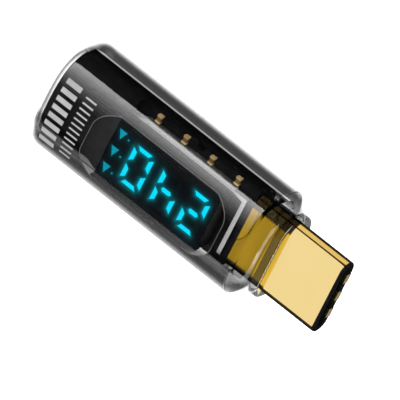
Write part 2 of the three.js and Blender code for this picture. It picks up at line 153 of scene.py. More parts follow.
def prisms(name, outlines, z0, z1, slots=None, smooth_angle=35.0):
    """Upright prisms in one mesh. slots gives each one's material slot."""
    points, faces, places = [], [], []
    for k, outline in enumerate(outlines):
        start = len(points)
        count = len(outline)
        points += [(x, y, z0) for x, y in outline] + [(x, y, z1) for x, y in outline]
        faces += [
            tuple(start + n for n in (i, (i + 1) % count, count + (i + 1) % count, count + i))
            for i in range(count)
        ]
        faces.append(tuple(start + i for i in reversed(range(count))))
        faces.append(tuple(start + count + i for i in range(count)))
        places += [slots[k] if slots else 0] * (count + 2)
    piece = mesh_piece(name, points, faces, smooth_angle)
    piece.data.polygons.foreach_set("material_index", places)
    return piece


def box_outline(x0, x1, y0, y1):
    return [(x0, y0), (x1, y0), (x1, y1), (x0, y1)]


def round_edges(piece, width, segments=2):
    bevel = piece.modifiers.new("round", "BEVEL")
    bevel.width = width * MM
    bevel.segments = segments
    bevel.limit_method = "ANGLE"
    bevel.angle_limit = math.radians(40)
    apply_modifiers(piece)
    shade(piece)


def apply_modifiers(piece):
    depsgraph = bpy.context.evaluated_depsgraph_get()
    mesh = bpy.data.meshes.new_from_object(piece.evaluated_get(depsgraph), depsgraph=depsgraph)
    old = piece.data
    piece.modifiers.clear()
    piece.data = mesh
    bpy.data.meshes.remove(old)


def boolean(piece, tool, operation):
    modifier = piece.modifiers.new("cut", "BOOLEAN")
    modifier.operation = operation
    modifier.solver = "EXACT"
    modifier.object = tool
    apply_modifiers(piece)


def drop(piece):
    bpy.data.objects.remove(piece, do_unlink=True)


# ------------------------------------------------------------------ outlines in Y and Z


def body_radius(turn, inset):
    a = HALF_WIDTH - inset
    b = HALF_HEIGHT - inset
    c = abs(math.cos(turn)) / a
    s = abs(math.sin(turn)) / b
    return (c ** SECTION_POWER + s ** SECTION_POWER) ** (-1 / SECTION_POWER)


def rounded_radius(turn, half_width, half_height, corner):
    """Distance from the centre to a rounded rectangle's edge in the direction of turn."""
    c = abs(math.cos(turn))
    s = abs(math.sin(turn))
    straight = min(half_width / c if c > 1e-9 else 1e9, half_height / s if s > 1e-9 else 1e9)
    y, z = c * straight, s * straight
    cy, cz = half_width - corner, half_height - corner
    if y <= cy or z <= cz:
        return straight
    along = c * cy + s * cz
    return along + math.sqrt(max(along ** 2 - cy ** 2 - cz ** 2 + corner ** 2, 0.0))


def body_top_z(y):
    return HALF_HEIGHT * (1 - abs(y / HALF_WIDTH) ** SECTION_POWER) ** (1 / SECTION_POWER)


RING_STEPS = 192


def polar_ring(x, radius):
    ring = []
    for i in range(RING_STEPS):
        turn = 2 * math.pi * (i + 0.5) / RING_STEPS
        r = radius(turn)
        ring.append((x, r * math.cos(turn), r * math.sin(turn)))
    return ring


def body_ring(x, inset, flat=False):
    ring = polar_ring(x, lambda turn: body_radius(turn, inset))
    if flat:
        ring = [(px, y, max(z, REST_Z)) for px, y, z in ring]
    return ring


def rounded_ring(x, width, height, corner):
    return polar_ring(x, lambda turn: rounded_radius(turn, width / 2, height / 2, corner))


def stadium_ring(x, width, height, steps=96):
    """Even steps along each round side and along each flat."""
    radius = height / 2
    straight = width / 2 - radius
    quarter = steps // 4
    ring = []
    for i in range(2 * quarter):
        turn = -math.pi / 2 + math.pi * i / (2 * quarter)
        ring.append((x, straight + radius * math.cos(turn), radius * math.sin(turn)))
    for i in range(quarter):
        ring.append((x, straight - 2 * straight * i / quarter, radius))
    for i in range(2 * quarter):
        turn = math.pi / 2 + math.pi * i / (2 * quarter)
        ring.append((x, -straight + radius * math.cos(turn), radius * math.sin(turn)))
    for i in range(quarter):
        ring.append((x, -straight + 2 * straight * i / quarter, -radius))
    return ring


def arc_steps(count):
    """Angles from 0 to a quarter turn."""
    return [math.pi / 2 * i / count for i in range(count + 1)]


# ------------------------------------------------------------------ materials


def new_material(name):
    material = bpy.data.materials.new(name)
    material.use_nodes = True
    tree = material.node_tree
    shader = tree.nodes["Principled BSDF"]
    return material, tree, shader


def noise(tree, scale, detail=3.0):
    place = tree.nodes.new("ShaderNodeTexCoord")
    pattern = tree.nodes.new("ShaderNodeTexNoise")
    pattern.inputs["Scale"].default_value = scale
    pattern.inputs["Detail"].default_value = detail
    tree.links.new(place.outputs["Object"], pattern.inputs["Vector"])
    return pattern


def spread(tree, source, low, high):
    span = tree.nodes.new("ShaderNodeMapRange")
    span.inputs["From Min"].default_value = 0.3
    span.inputs["From Max"].default_value = 0.7
    span.inputs["To Min"].default_value = low
    span.inputs["To Max"].default_value = high
    tree.links.new(source, span.inputs["Value"])
    return span.outputs["Result"]


def vary_roughness(tree, shader, scale, low, high):
    pattern = noise(tree, scale)
    tree.links.new(spread(tree, pattern.outputs["Fac"], low, high), shader.inputs["Roughness"])


def vary_colour(tree, shader, scale, dark, light):
    pattern = noise(tree, scale)
    ramp = tree.nodes.new("ShaderNodeValToRGB")
    ramp.color_ramp.elements[0].position = 0.3
    ramp.color_ramp.elements[0].color = (*dark, 1)
    ramp.color_ramp.elements[1].position = 0.7
    ramp.color_ramp.elements[1].color = (*light, 1)
    tree.links.new(pattern.outputs["Fac"], ramp.inputs["Fac"])
    tree.links.new(ramp.outputs["Color"], shader.inputs["Base Color"])


def add_bump(tree, shader, scale, depth_mm, strength=0.5):
    pattern = noise(tree, scale, 2.0)
    bump = tree.nodes.new("ShaderNodeBump")
    bump.inputs["Strength"].default_value = strength
    bump.inputs["Distance"].default_value = depth_mm * MM
    tree.links.new(pattern.outputs["Fac"], bump.inputs["Height"])
    tree.links.new(bump.outputs["Normal"], shader.inputs["Normal"])


def ramp_of(tree, source, stops):
    """A grey value that follows source through a list of (position, value) stops."""
    ramp = tree.nodes.new("ShaderNodeValToRGB")
    for i, (position, value) in enumerate(stops):
        if i < 2:
            stop = ramp.color_ramp.elements[i]
            stop.position = position
        else:
            stop = ramp.color_ramp.elements.new(position)
        stop.color = (value, value, value, 1)
    tree.links.new(source, ramp.inputs["Fac"])
    return ramp.outputs["Color"]


# How much light a smoked wall's outer face lets through, from face-on (0) to edge-on (1). The long way
# through a bent wall darkens it; the deep dark band there is painted shade and the clear outermost rim is
# a painted light edge, both standing in for refraction.
WALL_CLEARNESS_PAINTED_BANDS = [
    (0.0, 0.80), (0.25, 0.70), (0.42, 0.20), (0.50, 0.185),
    (0.57, 0.36), (0.62, 0.57), (0.74, 0.80), (0.9, 0.98),
]
# The collar's clearness by facing, with a painted dark band and a painted clear rim standing in for
# refraction.
COLLAR_CLEARNESS_PAINTED_BANDS = [(0.0, 0.36), (0.25, 0.32), (0.45, 0.24), (0.6, 0.28), (0.75, 0.4), (0.9, 0.7)]
# How much of the wall's clearness is left as it turns from facing up (0) towards -Y (1): painted shade,
# so the wall's -Y side looks darker than its +Y side.
PAINTED_LOW_SIDE_SHADE = [
    (0.0, 1.0), (0.03, 1.0), (0.08, 0.38), (0.15, 0.33), (0.2, 0.55),
    (0.27, 0.85), (0.38, 0.75), (0.47, 0.55), (0.55, 0.40), (0.66, 0.42),
]
# How much the outer faces and the inner faces of a wall mirror. The inner ones end in a sharp
# line where they turn away.
OUTER_MIRROR = [(0.0, 0.05), (0.33, 0.05), (0.43, 0.01), (0.6, 0.008)]
INNER_MIRROR = [(0.0, 0.0), (0.41, 0.0), (0.45, 0.35), (0.62, 0.5), (0.70, 0.85), (0.80, 0.95)]
LINE_MIRROR = [(0.0, 0.0), (0.66, 0.0), (0.72, 0.5), (0.80, 0.7)]
# Values of the face attribute "inner".
OUTER_FACE = 0.0
EDGE_FACE = 0.25  # half way between an outer face and a cut face
CUT_FACE = 0.5  # a face that neither mirrors nor darkens
INNER_FACE = 1.0
LINE_FACE = 2.0  # an inner face beside the window, which only mirrors where it turns away
BARE = 0.985  # what such a face lets through


def between(tree, share, low, high, start=0.0, stop=1.0):
    """Runs from low to high as share runs from start to stop. Each end may be a number or a
    socket."""
    span = tree.nodes.new("ShaderNodeMapRange")
    span.inputs["From Min"].default_value = start
    span.inputs["From Max"].default_value = stop
    tree.links.new(share, span.inputs["Value"])
    for name, end in (("To Min", low), ("To Max", high)):
        if isinstance(end, float):
            span.inputs[name].default_value = end
        else:
            tree.links.new(end, span.inputs[name])
    return span.outputs["Result"]


def clear_plastic(name, density, gloss=None, clearness=None):
    """A smoked wall: it dims what is seen through it by its thickness and by clearness, and
    mirrors as its outer, cut, inner and line faces do."""
    material, tree, shader = new_material(name)
    shader.inputs["Metallic"].default_value = 1.0
    vary_colour(tree, shader, 120.0, (0.94, 0.94, 0.95), (1.0, 1.0, 1.0))
    vary_roughness(tree, shader, 150.0, 0.02, 0.05)
    clear = tree.nodes.new("ShaderNodeBsdfTransparent")
    clear.inputs["Color"].default_value = (BARE, BARE, BARE, 1)
    facing = tree.nodes.new("ShaderNodeLayerWeight").outputs["Facing"]
    inner = tree.nodes.new("ShaderNodeAttribute")
    inner.attribute_name = "inner"
    mark = inner.outputs["Fac"]
    side = tree.nodes.new("ShaderNodeNewGeometry")
    outer = ramp_of(tree, facing, OUTER_MIRROR) if gloss is None else gloss
    share = between(tree, side.outputs["Backfacing"], outer, 0.0)
    share = between(tree, mark, share, 0.0, OUTER_FACE, CUT_FACE)
    share = between(tree, mark, share, ramp_of(tree, facing, INNER_MIRROR), CUT_FACE, INNER_FACE)
    share = between(tree, mark, share, ramp_of(tree, facing, LINE_MIRROR), INNER_FACE, LINE_FACE)
    # Painted shade and light: the clearness ramp's dark band and clear rim by facing, and the extra
    # darkening as the wall turns towards -Y, stand in for refraction through the wall.
    if clearness:
        turned = tree.nodes.new("ShaderNodeSeparateXYZ")
        tree.links.new(side.outputs["Normal"], turned.inputs["Vector"])
        painted_low_side_shade = between(tree, turned.outputs["Y"], 0.0, 1.0, 0.0, -1.0)
        painted_low_side_shade = ramp_of(tree, painted_low_side_shade, PAINTED_LOW_SIDE_SHADE)
        painted_low_side_shade = between(tree, side.outputs["Backfacing"], painted_low_side_shade, 1.0)
        seen = between(tree, painted_low_side_shade, 0.0, ramp_of(tree, facing, clearness))
        seen = between(tree, mark, seen, BARE, OUTER_FACE, CUT_FACE)
        tree.links.new(seen, clear.inputs["Color"])
    mix = tree.nodes.new("ShaderNodeMixShader")
    tree.links.new(share, mix.inputs["Fac"])
    tree.links.new(clear.outputs["BSDF"], mix.inputs[1])
    tree.links.new(shader.outputs["BSDF"], mix.inputs[2])
    absorb = tree.nodes.new("ShaderNodeVolumeAbsorption")
    absorb.inputs["Color"].default_value = (0.0, 0.0, 0.0, 1)
    absorb.inputs["Density"].default_value = density / MM
    output = tree.nodes["Material Output"]
    tree.links.new(mix.outputs["Shader"], output.inputs["Surface"])
    tree.links.new(absorb.outputs["Volume"], output.inputs["Volume"])
    return material


def clear_skin(name, mirror, colour=(1.0, 1.0, 1.0), clearness=None):
    """A clear face with no thickness, which mirrors in its colour."""
    material, tree, shader = new_material(name)
    shader.inputs["Metallic"].default_value = 1.0
    vary_colour(tree, shader, 120.0, tuple(0.95 * c for c in colour), colour)
    vary_roughness(tree, shader, 150.0, 0.02, 0.05)
    clear = tree.nodes.new("ShaderNodeBsdfTransparent")
    clear.inputs["Color"].default_value = (BARE, BARE, BARE, 1)
    facing = tree.nodes.new("ShaderNodeLayerWeight").outputs["Facing"]
    if clearness:
        tree.links.new(ramp_of(tree, facing, clearness), clear.inputs["Color"])
    mix = tree.nodes.new("ShaderNodeMixShader")
    tree.links.new(ramp_of(tree, facing, mirror), mix.inputs["Fac"])
    tree.links.new(clear.outputs["BSDF"], mix.inputs[1])
    tree.links.new(shader.outputs["BSDF"], mix.inputs[2])
    tree.links.new(mix.outputs["Shader"], tree.nodes["Material Output"].inputs["Surface"])
    return material


def plastic(name, dark, light, rough, bump_mm=0.004):
    material, tree, shader = new_material(name)
    vary_colour(tree, shader, 900.0, dark, light)
    vary_roughness(tree, shader, 1400.0, *rough)
    add_bump(tree, shader, 6000.0, bump_mm, 0.3)
    return material


def metal(name, dark, light, rough, bump_mm=0.002):
    material, tree, shader = new_material(name)
    shader.inputs["Metallic"].default_value = 1.0
    vary_colour(tree, shader, 180.0, dark, light)
    vary_roughness(tree, shader, 500.0, *rough)
    add_bump(tree, shader, 3000.0, bump_mm, 0.15)
    return material


def mix_colour(tree, share, first, second):
    """Goes from the first colour to the second. The second may be a number triple or a socket."""
    tone = tree.nodes.new("ShaderNodeMix")
    tone.data_type = "RGBA"
    tree.links.new(share, tone.inputs["Factor"])
    tree.links.new(first, tone.inputs[6])
    if isinstance(second, tuple):
        tone.inputs[7].default_value = (*second, 1)
    else:
        tree.links.new(second, tone.inputs[7])
    return tone.outputs[2]


def gold_metal(name):
    """Polished gold plating. Inside the body it is deeper in colour, and its round sides are painted near
    black as shade.
    """
    material, tree, shader = new_material(name)
    shader.inputs["Metallic"].default_value = 1.0
    place = tree.nodes.new("ShaderNodeTexCoord")
    along = tree.nodes.new("ShaderNodeSeparateXYZ")
    tree.links.new(place.outputs["Object"], along.inputs["Vector"])
    start = at(COLLAR_END_X - 0.1, 0, 0).x
    outside = between(tree, along.outputs["X"], 0.0, 1.0, start, start + 0.1 * MM)
    pattern = noise(tree, 180.0)
    colours = []
    deep = ((0.86, 0.52, 0.035), (0.92, 0.57, 0.045))
    bright = ((0.93, 0.70, 0.28), (0.98, 0.76, 0.34))
    for dark, light in (deep, bright):
        ramp = tree.nodes.new("ShaderNodeValToRGB")
        ramp.color_ramp.elements[0].color = (*dark, 1)
        ramp.color_ramp.elements[1].color = (*light, 1)
        tree.links.new(pattern.outputs["Fac"], ramp.inputs["Fac"])
        colours.append(ramp.outputs["Color"])
    across = tree.nodes.new("ShaderNodeMath")
    across.operation = "ABSOLUTE"
    tree.links.new(along.outputs["Y"], across.inputs[0])
    flat_end = PLUG_FLAT_HALF * MM
    painted_side_shade = between(tree, across.outputs["Value"], 0.0, 1.0, flat_end, flat_end + 0.2 * MM)
    # Painted shade: inside the body the gold's round sides turn near black.
    inside = mix_colour(tree, painted_side_shade, colours[0], (0.10, 0.075, 0.03))
    tree.links.new(mix_colour(tree, outside, inside, colours[1]), shader.inputs["Base Color"])
    vary_roughness(tree, shader, 500.0, 0.06, 0.12)
    add_bump(tree, shader, 3000.0, 0.002, 0.15)
    return material


def lit(name, colour, strength):
    material, tree, shader = new_material(name)
    vary_colour(tree, shader, 800.0, tuple(0.9 * c for c in colour), colour)
    shader.inputs["Roughness"].default_value = 0.4
    shader.inputs["Emission Color"].default_value = (*colour, 1)
    shader.inputs["Emission Strength"].default_value = strength
    return material


smoked = clear_plastic("smoked_plastic", 0.1, clearness=WALL_CLEARNESS_PAINTED_BANDS)
smoked_window = clear_plastic("window_plastic", 0.12, gloss=0.004)
smoked_front = clear_plastic("front_plastic", 0.1, clearness=WALL_CLEARNESS_PAINTED_BANDS)
smoked_collar = clear_skin("collar_plastic", OUTER_MIRROR, clearness=COLLAR_CLEARNESS_PAINTED_BANDS)
collar_clear = clear_skin("collar_clear", [(0.0, 0.0), (1.0, 0.01)])
# A gold-tinted mirror for the collar's front face above the plug: a painted reflection of the plug's
# gold.
collar_painted_gold_reflection = clear_skin(
    "collar_painted_gold_reflection", [(0.0, 0.02), (0.45, 0.1), (0.62, 0.70), (0.9, 0.72)], (0.84, 0.66, 0.07))
black = plastic("black_plastic", (0.013, 0.013, 0.0135), (0.018, 0.018, 0.0185), (0.42, 0.55))
housing_black = plastic("housing_black", (0.004, 0.004, 0.005), (0.007, 0.007, 0.008), (0.4, 0.5))
board_black = plastic("circuit_board", (0.006, 0.006, 0.007), (0.012, 0.013, 0.014), (0.35, 0.5))
chip_black = plastic("chip_black", (0.012, 0.012, 0.013), (0.02, 0.02, 0.022), (0.5, 0.65))
pale = plastic("pale_plastic", (0.50, 0.50, 0.50), (0.58, 0.58, 0.58), (0.25, 0.4))
# Darker copies of the pale plastic for the display carrier: grey for its recess walls, near black for its
# recess floor and front face, as painted shade.
carrier_painted_wall_shade = plastic("carrier_painted_wall_shade", (0.17, 0.17, 0.17), (0.21, 0.21, 0.21), (0.35, 0.45))
carrier_painted_deep_shade = plastic("carrier_painted_deep_shade", (0.005, 0.005, 0.0055), (0.009, 0.009, 0.0095), (0.4, 0.5))
# A pale grey for the line along the window's seam: a painted highlight where its edge catches light.
seam_highlight_grey = plastic("seam_highlight_grey", (0.07, 0.07, 0.07), (0.09, 0.09, 0.09), (0.4, 0.5))
print_white = plastic("print_white", (0.24, 0.24, 0.24), (0.30, 0.30, 0.30), (0.5, 0.65))
emitter = plastic("led_emitter", (0.6, 0.6, 0.45), (0.75, 0.75, 0.6), (0.4, 0.6))
ceramic = plastic("capacitor_ceramic", (0.20, 0.11, 0.05), (0.28, 0.16, 0.07), (0.4, 0.6))
gold = gold_metal("plated_gold")
gilt = plastic("capacitor_gilt", (0.80, 0.56, 0.24), (0.95, 0.70, 0.34), (0.3, 0.45))
contact_gold = metal("contact_gold", (0.80, 0.56, 0.22), (0.92, 0.68, 0.30), (0.15, 0.28))
steel = metal("steel", (0.55, 0.55, 0.57), (0.68, 0.68, 0.70), (0.18, 0.32))
resistor_metal = metal("resistor_metal", (0.4, 0.4, 0.41), (0.55, 0.55, 0.56), (0.3, 0.5))
segment_lit = lit("digit_light", (0.0, 0.68, 0.96), 1.2)
unit_lit = lit("unit_light", (0.0, 0.45, 0.62), 0.7)
segment_off = plastic("digit_dark", (0.008, 0.010, 0.011), (0.012, 0.014, 0.015), (0.4, 0.5))


def film_material():
    """Dark film that half shows what is under it. Its glow is stored in the mesh."""
    material, tree, shader = new_material("display_film")
    vary_colour(tree, shader, 300.0, (0.003, 0.003, 0.004), (0.005, 0.005, 0.006))
    vary_roughness(tree, shader, 400.0, 0.2, 0.3)
    glow = tree.nodes.new("ShaderNodeAttribute")
    glow.attribute_name = "glow"
    ramp = tree.nodes.new("ShaderNodeValToRGB")
    ramp.color_ramp.elements[0].color = (0, 0, 0, 1)
    ramp.color_ramp.elements[1].color = (0.0, 0.72, 0.86, 1)
    tree.links.new(glow.outputs["Fac"], ramp.inputs["Fac"])
    tree.links.new(ramp.outputs["Color"], shader.inputs["Emission Color"])
    shader.inputs["Emission Strength"].default_value = 1.0
    clear = tree.nodes.new("ShaderNodeBsdfTransparent")
    mix = tree.nodes.new("ShaderNodeMixShader")
    mix.inputs["Fac"].default_value = 0.3
    tree.links.new(clear.outputs["BSDF"], mix.inputs[1])
    tree.links.new(shader.outputs["BSDF"], mix.inputs[2])
    tree.links.new(mix.outputs["Shader"], tree.nodes["Material Output"].inputs["Surface"])
    return material


film_dark = film_material()

SLOT_LOOK = {
    "black_plastic": black,
    "housing_black": housing_black,
    "display_film": film_dark,
    "circuit_board": board_black,
    "chip_black": chip_black,
    "pale_plastic": pale,
    "led_emitter": emitter,
    "capacitor_ceramic": ceramic,
    "plated_gold": gold,
    "contact_gold": contact_gold,
    "steel": steel,
    "resistor_metal": resistor_metal,
    "smoked_plastic": smoked,
    "window_plastic": smoked_window,
    "collar_plastic": smoked_collar,
    "digit_light": segment_lit,
}


def dress(piece, *materials):
    """Gives a piece its materials and keeps which face has which."""
    faces = piece.data.polygons
    places = [0] * len(faces)
    faces.foreach_get("material_index", places)
    piece.data.materials.clear()
    for material in materials:
        piece.data.materials.append(material)
    faces.foreach_set("material_index", places)


def stand_in(piece, node, slot, *materials):
    dress(piece, *materials)
    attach(piece, "root")
    if node is not None:
        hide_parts(node)


# ------------------------------------------------------------------ body pieces


def outer_rings():
    """The body's outside, from the flat rear face to the seam."""
    rings = [
        body_ring(REAR_ROUND * (1 - math.sin(t)), EDGE_INSET * (1 - math.cos(t)), True)
        for t in reversed(arc_steps(12))
    ]
    for i in range(1, 9):
        rings.append(body_ring(REAR_ROUND + (SEAM_X - REAR_ROUND) * i / 8, 0, True))
    return rings


def receptacle_mouth():
    low, high = node_box("receptacle_shell")
    clear = 2 * GAP
    return (high.y - low.y) / MM + clear, (high.z - low.z) / MM + clear


def curve_through(start, bend, stop, steps):
    """Points on a quadratic curve."""
    points = []
    for i in range(steps + 1):
        t = i / steps
        points.append(tuple(
            start[k] * (1 - t) ** 2 + 2 * bend[k] * t * (1 - t) + stop[k] * t ** 2 for k in (0, 1)
        ))
    return points


def window_outline(inset):
    """The window's edge, with one corner's curve mirrored to all four."""
    rear = local_x(window_low.x) - GAP + inset
    front = local_x(window_high.x) + GAP - inset
    side = window_high.y / MM + GAP - inset
    end = 1.5
    corner = 2.1
    bend_x, bend_y = 0.2, 0.75
    points = curve_through((front, end), (front - bend_x, side - bend_y), (front - corner, side), 12)
    middle = (front + rear) / 2
    across = [(2 * middle - x, y) for x, y in reversed(points)]
    half = points + across
    return half + [(x, -y) for x, y in reversed(half)]


def make_shell():
    """The smoked sleeve, with the receptacle's mouth in its rear wall and a hole for the window."""
    width, height = receptacle_mouth()
    mouth = [rounded_ring(x, width, height, height / 2) for x in (REAR_WALL, 0.0)]
    inside = [body_ring(x, WALL) for x in (SEAM_X, (SEAM_X + REAR_WALL) / 2, REAR_WALL)]
    piece = loft("body_shell", outer_rings() + inside + mouth, closed=True)
    cutter = prisms("window_cutter", [window_outline(0)], 2.0, 8.0)
    boolean(piece, cutter, "DIFFERENCE")
    drop(cutter)
    shade(piece)
    mark_inner_faces(piece)
    stand_in(piece, "shell", "smoked_plastic", smoked)


def mark_inner_faces(piece, inside=INNER_FACE):
    """Stores on each face whether it is outside, on a front edge, inside or on the window's cut.
    The cut on the -Y side looks as dark as an outer face."""
    middle = WALL / 2
    rear, front = local_x(window_low.x), local_x(window_high.x)
    marks = []
    for face in piece.data.polygons:
        x, y, z = local_x(face.center.x), face.center.y / MM, local_z(face.center.z)
        level = (abs(y) / (HALF_WIDTH - middle)) ** SECTION_POWER
        level += (abs(z) / (HALF_HEIGHT - middle)) ** SECTION_POWER
        if abs(face.normal.z) < 0.02 and z > 1.5 and abs(y) < window_high.y / MM + 0.2:
            marks.append(OUTER_FACE if face.normal.y > 0.9 else CUT_FACE)
        elif level > 1 or abs(face.normal.x) > 0.5:
            marks.append(EDGE_FACE if face.normal.x > 0.5 else OUTER_FACE)
        else:
            marks.append(LINE_FACE if rear < x < front and z > 0 > y else inside)
    piece.data.attributes.new("inner", "FLOAT", "FACE").data.foreach_set("value", marks)


def make_window():
    """The clear lens, flush with the body's curve."""
    piece = prisms("window_lens", [window_outline(GAP)], local_z(window_low.z), 8.0)
    blank = loft("body_blank", outer_rings())
    boolean(piece, blank, "INTERSECT")
    drop(blank)
    shade(piece)
    stand_in(piece, "display_window", "window_plastic", smoked_window)


def make_seam_highlight():
    """A fine grey line along the window's seam, flush with the surface: the seam is real, and its pale
    line is a painted highlight where the edge catches light.
    """
    proud, depth = 0.012, 0.05
    rings = []
    for (ox, oy), (ix, iy) in zip(window_outline(-0.01), window_outline(0.05)):
        top = body_top_z(oy) + proud
        inner_top = body_top_z(iy) + proud
        rings.append([
            (ox, oy, top), (ix, iy, inner_top), (ix, iy, inner_top - depth), (ox, oy, top - depth),
        ])
    piece = loft("window_glue_line", rings[::-1], closed=True)
    stand_in(piece, None, "window_plastic", seam_highlight_grey)


def make_front_cap():
    """The narrowing front end, hollow, with a hole for the collar and a spigot in the shell."""
    chamfer = BODY_END_X - SEAM_X
    slope = EDGE_INSET / chamfer
    low, high = collar_low, collar_high
    width, height = (high.y - low.y) / MM, (high.z - low.z) / MM
    step = 0.2 - GAP
    edge = 0.65
    profile = curve_through((SEAM_X + GAP, 0.02), (SEAM_X + 0.1, 0.0), (SEAM_X + 0.25, 0.25 * slope), 4)
    profile += curve_through(
        (BODY_END_X - edge, EDGE_INSET - edge * slope),
        (BODY_END_X, EDGE_INSET),
        (BODY_END_X, EDGE_INSET + 0.8 * edge),
        10,
    )
    outside = [body_ring(x, inset, True) for x, inset in profile]
    hole = [
        rounded_ring(x, width - 2 * step, height - 2 * step, 1.9)
        for x in (BODY_END_X, BODY_END_X - CAP_WALL)
    ]
    hollow = [body_ring(x, WALL + 0.42) for x in (BODY_END_X - CAP_WALL, local_x(cap_low.x))]
    spigot = [body_ring(x, WALL + GAP) for x in (local_x(cap_low.x), SEAM_X + GAP)]
    piece = loft("body_front", outside + hole + hollow + spigot, closed=True)
    mark_inner_faces(piece, CUT_FACE)
    stand_in(piece, "front_cap", "smoked_plastic", smoked_front)


def make_collar():
    """The flange around the plug, and its neck. Above the plug its front face is a gold-tinted mirror, a
    painted reflection of the gold below it.
    """
    low, high = collar_low, collar_high
    width, height = (high.y - low.y) / MM, (high.z - low.z) / MM
    start = BODY_END_X + GAP
    edge = 0.25
    bore_width, bore_height = PLUG_WIDTH + 2 * GAP, PLUG_HEIGHT + 2 * GAP
    flange = [rounded_ring(start, width, height, 2.1)]
    for t in arc_steps(6):
        pull = edge * (1 - math.cos(t))
        x = COLLAR_END_X - edge * (1 - math.sin(t))
        flange.append(rounded_ring(x, width - 2 * pull, height - 2 * pull, 2.1))
    bore = [
        rounded_ring(x, bore_width, bore_height, bore_height / 2)
        for x in (COLLAR_END_X, local_x(low.x))
    ]
    neck = [rounded_ring(x, width - 0.4, height - 0.4, 1.9) for x in (local_x(low.x), start)]
    piece = loft("plug_collar", flange + bore + neck, closed=True)
    flange_count = len(flange) - 1
    for i, face in enumerate(piece.data.polygons):
        above_plug = face.center.z > REAR.z and abs(face.center.y) < 0.85 * plug_high.y
        if i < flange_count * RING_STEPS:
            face.material_index = 0
        elif face.normal.x > 0.9:
            # Front faces above the plug take the gold-tinted mirror, a painted reflection of the plug's
            # gold.
            face.material_index = 2 if above_plug else 0
        else:
            face.material_index = 1
    piece.visible_glossy = False  # the plug in front of it stays one even gold
    stand_in(piece, "nose_collar", "collar_plastic", smoked_collar, collar_clear, collar_painted_gold_reflection)


def make_plug_shell():
    """The plug's gold sheet tube, with a softened lip."""
    sheet = 0.25
    lip = 0.05
    end = PLUG_SHELL_END_X
    outside = [
        stadium_ring(PLUG_REAR_X + (end - lip - PLUG_REAR_X) * i / 12, PLUG_WIDTH, PLUG_HEIGHT)
        for i in range(13)
    ]
    for t in arc_steps(4)[1:]:
        pull = 2 * lip * (1 - math.cos(t))
        outside.append(stadium_ring(end - lip * (1 - math.sin(t)), PLUG_WIDTH - pull, PLUG_HEIGHT - pull))
    inside = [
        stadium_ring(x, PLUG_WIDTH - 2 * sheet, PLUG_HEIGHT - 2 * sheet) for x in (end, PLUG_REAR_X)
    ]
    piece = loft("gold_plug_shell", outside + inside, closed=True)
    stand_in(piece, "plug_shell", "plated_gold", gold)


def make_plug_nose():
    """The plug's black insulator, with its rounded nose and the mouth for the tongue."""
    recess = 0.03  # the gilt fingers stand this far proud of the nose
    edge = 0.16
    front = TIP_X - recess
    base = PLUG_SHELL_END_X + GAP
    rear = local_x(node_box("plug_insulator")[0].x)
    width, height = PLUG_WIDTH - GAP, PLUG_HEIGHT - GAP
    outside = [stadium_ring(x, PLUG_WIDTH - 0.54, PLUG_HEIGHT - 0.54) for x in (rear, base)]
    for t in arc_steps(6):
        pull = 2 * edge * (1 - math.cos(t))
        x = base + (front - base) * math.sin(t)
        outside.append(stadium_ring(x, width - pull, height - pull))
    mouth = [
        stadium_ring(front, 6.9, 1.1),
        stadium_ring(front - 0.06, 6.8, 1.0),
        stadium_ring(front - 5.6, 6.8, 1.0),
    ]
    piece = loft("plug_nose", outside + mouth)
    stand_in(piece, "plug_insulator", "black_plastic", housing_black)


# ------------------------------------------------------------------ display

SEGMENT_ORDER = "abcdefg"
SHOWN = {"hundreds": "abged", "tens": "fgbc", "ones": "abcdef"}  # 2, 4 and 0
DIGIT_MIDDLE_Y = -0.2
UNIT_MIDDLE_Y = -0.3
UNIT_PITCH = 1.98
GUIDE_PLATE_TOP = 2.3
GUIDE_PLATE_HALF = 2.6  # half its length in y
BAR_FOOT = GUIDE_PLATE_TOP - 0.02


def segment_outlines():
    """The seven bars of a digit about its middle, u to its right and v to its top."""
    side, inner, top = 1.225, 0.755, 2.15
    upper = [(side, 0.2), (side, 1.75), (inner, 1.4), (inner, 0.58)]
    bar = [(-0.85, top), (0.85, top), (0.55, top - 0.43), (-0.55, top - 0.43)]
    middle = [(-0.6, 0), (-0.4, 0.24), (0.4, 0.24), (0.6, 0), (0.4, -0.24), (-0.4, -0.24)]

    def mirror(points, u, v):
        return [(x * u, y * v) for x, y in points]

    return [
        bar, upper, mirror(upper, 1, -1), mirror(bar, 1, -1),
        mirror(upper, -1, -1), mirror(upper, -1, 1), middle,
    ]


def placed(points, x, y):
    """An outline turned to read towards the rear end, running anticlockwise."""
    turned = [(x - u, y - v) for u, v in points]
    area = sum(a[0] * b[1] - b[0] * a[1] for a, b in zip(turned, turned[1:] + turned[:1]))
    return turned if area > 0 else turned[::-1]


def digit_outlines(name):
    low, high = node_box(f"digit_{name}")
    middle = local_x((low.x + high.x) / 2)
    return [placed(points, middle, DIGIT_MIDDLE_Y) for points in segment_outlines()]


def unit_outlines():
    """Three pointers and the dot beside each."""
    low, high = node_box("unit_marks")
    middle = local_x((low.x + high.x) / 2)
    pointer = [(-0.45, -0.5), (0.45, -0.5), (0.0, 0.5)]
    dot = [
        (0.1 * math.cos(t), 0.1 * math.sin(t)) for t in (2 * math.pi * i / 12 for i in range(12))
    ]
    marks = []
    for row in (-1, 0, 1):
        y = row * UNIT_PITCH + UNIT_MIDDLE_Y
        marks.append(placed(pointer, middle - 0.28, y))
        marks.append(placed(dot, middle + 0.58, y))
    return marks


